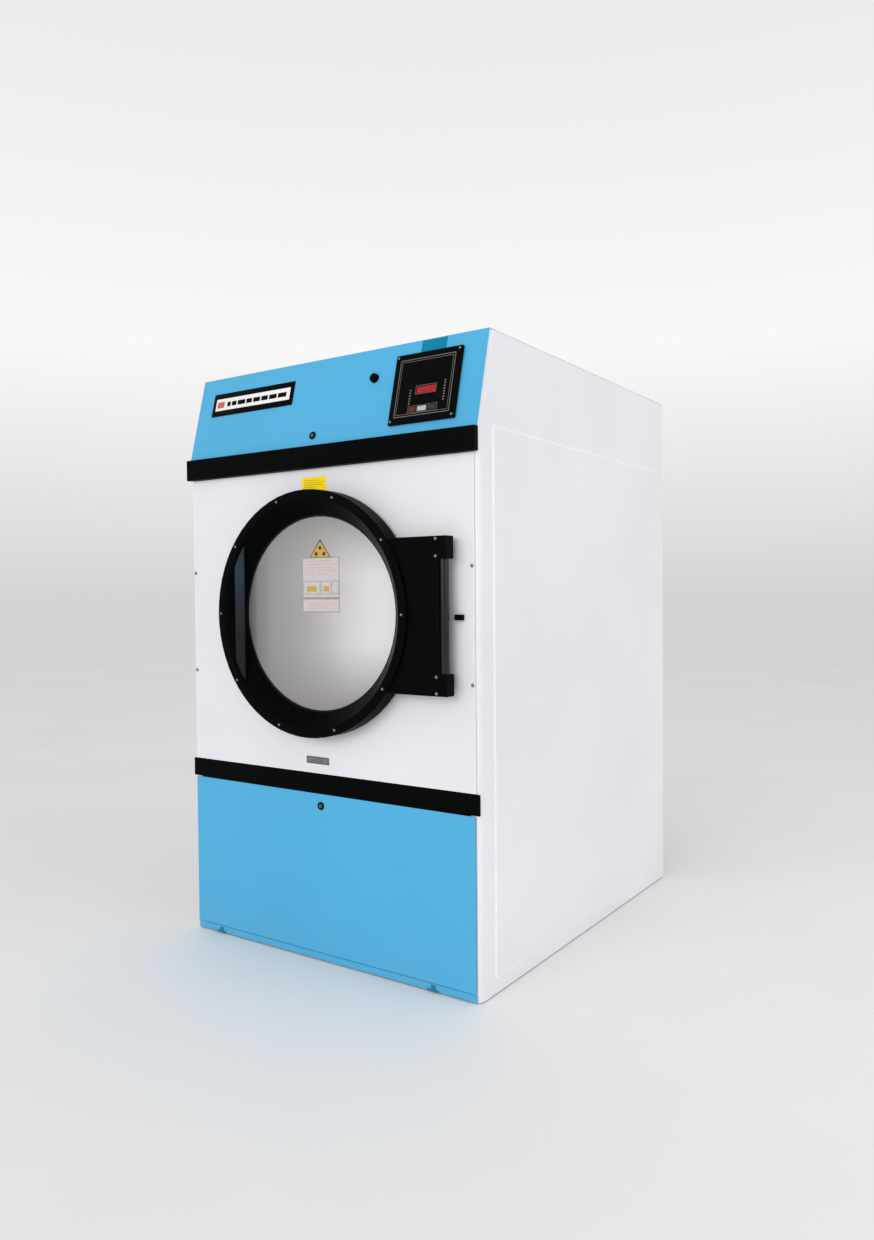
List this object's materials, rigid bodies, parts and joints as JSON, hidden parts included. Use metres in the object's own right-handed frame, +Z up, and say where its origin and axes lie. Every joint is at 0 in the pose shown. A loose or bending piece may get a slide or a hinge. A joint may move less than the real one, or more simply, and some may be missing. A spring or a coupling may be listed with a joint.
{
  "type": "commercial tumble dryer",
  "caption": "Free-standing commercial tumble dryer: round glazed loading door, sloped blue control door, blue drop-down lint door, belt-driven drum, blower and rear exhaust collar.",
  "frame": {"origin": "on the floor under the middle of the bounding box", "axes": "+Z up, the front faces -Y, +X is to the right of a person facing the front"},
  "size_m": [1.18, 1.566, 1.93],
  "materials": {
    "white_paint": "semi-gloss powder coat",
    "blue_paint": "gloss powder coat",
    "black_paint": "satin black enamel",
    "black_plastic": "fine grain",
    "zinc": "galvanised sheet",
    "stainless": "brushed stainless",
    "cast_iron": "as cast, machined faces",
    "motor_grey": "satin grey enamel on a finned aluminium housing",
    "rubber": "matt black rubber",
    "glass": "pale grey reflective glazing",
    "red_plastic": "moulded red",
    "white_plastic": "moulded white",
    "green_plastic": "moulded dark green",
    "red_display": "red display filter"
  },
  "bodies": {
    "cabinet": {"base_pan": "zinc", "kick_strip": "blue_paint", "foot_front_left": "rubber", "foot_front_right": "rubber", "foot_rear_left": "rubber", "foot_rear_right": "rubber", "side_panel_left": "white_paint", "side_panel_right": "white_paint", "top_cover": "white_paint", "rear_upper_panel": "zinc", "rear_lower_panel": "zinc", "front_panel": "white_paint", "mouth_neck": "zinc", "upper_trim_bar": "black_paint", "lower_trim_bar": "black_paint", "hinge_post": "black_paint", "door_switch_housing": "black_plastic", "rear_bulkhead": "zinc", "bearing_housing": "cast_iron", "shaft_bearing": "stainless", "drive_motor": "motor_grey", "motor_belt": "rubber", "tumbler_belt": "rubber", "idler_bracket": "cast_iron", "blower_housing": "zinc", "blower_motor": "motor_grey", "exhaust_duct": "zinc", "lint_deck": "zinc", "lint_screen": "stainless", "heater_box": "zinc", "control_box": "zinc"},
    "main_door": {"door_ring": "black_paint", "door_hinge_plate": "black_paint", "door_glass": "glass", "glass_gasket": "rubber", "door_seal": "rubber", "door_handle": "black_paint", "hinge_block_upper": "black_paint", "hinge_block_lower": "black_paint"},
    "control_door": {"control_door_panel": "blue_paint", "keypad_bezel": "black_plastic", "display_window": "red_display"},
    "lint_door": {"lint_door_panel": "blue_paint"},
    "drum": {"drum_shell": "stainless", "drum_rib_1": "stainless", "drum_rib_2": "stainless", "drum_rib_3": "stainless", "drum_rib_4": "stainless", "drum_shaft": "cast_iron", "drum_sheave": "cast_iron"},
    "idler": {"idler_pulley": "cast_iron"},
    "motor_rotor": {"motor_pulley": "cast_iron"},
    "fan": {"fan_impeller": "zinc"},
    "red_key": {"key_red": "red_plastic"},
    "white_key": {"key_white": "white_plastic"},
    "green_key": {"key_green": "green_plastic"},
    "round_button": {"panel_button": "black_plastic"},
    "panel_lock": {"control_lock": "stainless"},
    "lower_lock": {"lint_lock": "stainless"},
    "door_plunger": {"door_switch_plunger": "black_plastic"}
  },
  "joints": [
    {"name": "main_door_hinge", "type": "hinge", "parent": "cabinet", "child": "main_door", "pos_m": [0.5, -0.753, 1.108], "axis": [0, 0, 1], "range_deg": [0, 165]},
    {"name": "control_door_hinge", "type": "hinge", "parent": "cabinet", "child": "control_door", "pos_m": [0, -0.63986, 1.92838], "axis": [-1, 0, 0], "range_deg": [0, 78]},
    {"name": "lint_door_hinge", "type": "hinge", "parent": "cabinet", "child": "lint_door", "pos_m": [0, -0.721, 0.032], "axis": [1, 0, 0], "range_deg": [0, 90]},
    {"name": "drum_spin", "type": "hinge", "parent": "cabinet", "child": "drum", "pos_m": [0, -0.213, 1.112], "axis": [0, 1, 0], "continuous": true},
    {"name": "idler_spin", "type": "hinge", "parent": "cabinet", "child": "idler", "pos_m": [-0.4, 0.587, 0.72], "axis": [0, 1, 0], "continuous": true},
    {"name": "motor_spin", "type": "hinge", "parent": "cabinet", "child": "motor_rotor", "pos_m": [-0.4, 0.587, 0.26], "axis": [0, 1, 0], "continuous": true},
    {"name": "fan_spin", "type": "hinge", "parent": "cabinet", "child": "fan", "pos_m": [0.1, 0.237, 0.3], "axis": [0, 1, 0], "continuous": true},
    {"name": "key_red_press", "type": "slide", "parent": "control_door", "child": "red_key", "axis": [0, 0.9703, -0.2417], "range_m": [0, 0.0015], "stiffness_N_per_m": 300},
    {"name": "key_white_press", "type": "slide", "parent": "control_door", "child": "white_key", "axis": [0, 0.9703, -0.2417], "range_m": [0, 0.0015], "stiffness_N_per_m": 300},
    {"name": "key_green_press", "type": "slide", "parent": "control_door", "child": "green_key", "axis": [0, 0.9703, -0.2417], "range_m": [0, 0.0015], "stiffness_N_per_m": 300},
    {"name": "panel_button_press", "type": "slide", "parent": "control_door", "child": "round_button", "axis": [0, 0.9703, -0.2417], "range_m": [0, 0.003], "stiffness_N_per_m": 300},
    {"name": "control_lock_turn", "type": "hinge", "parent": "control_door", "child": "panel_lock", "pos_m": [-0.028, -0.7043, 1.67593], "axis": [0, -0.9703, 0.2417], "range_deg": [0, 90]},
    {"name": "lint_lock_turn", "type": "hinge", "parent": "lint_door", "child": "lower_lock", "pos_m": [0, -0.713, 0.501], "axis": [0, -1, 0], "range_deg": [0, 90]},
    {"name": "door_switch_press", "type": "slide", "parent": "cabinet", "child": "door_plunger", "axis": [0, 1, 0], "range_m": [0, 0.004], "stiffness_N_per_m": 200}
  ],
  "couplings": [
    {"joint": "idler_spin", "follows": "drum_spin", "ratio": 9.375},
    {"joint": "motor_spin", "follows": "drum_spin", "ratio": 33.854}
  ]
}
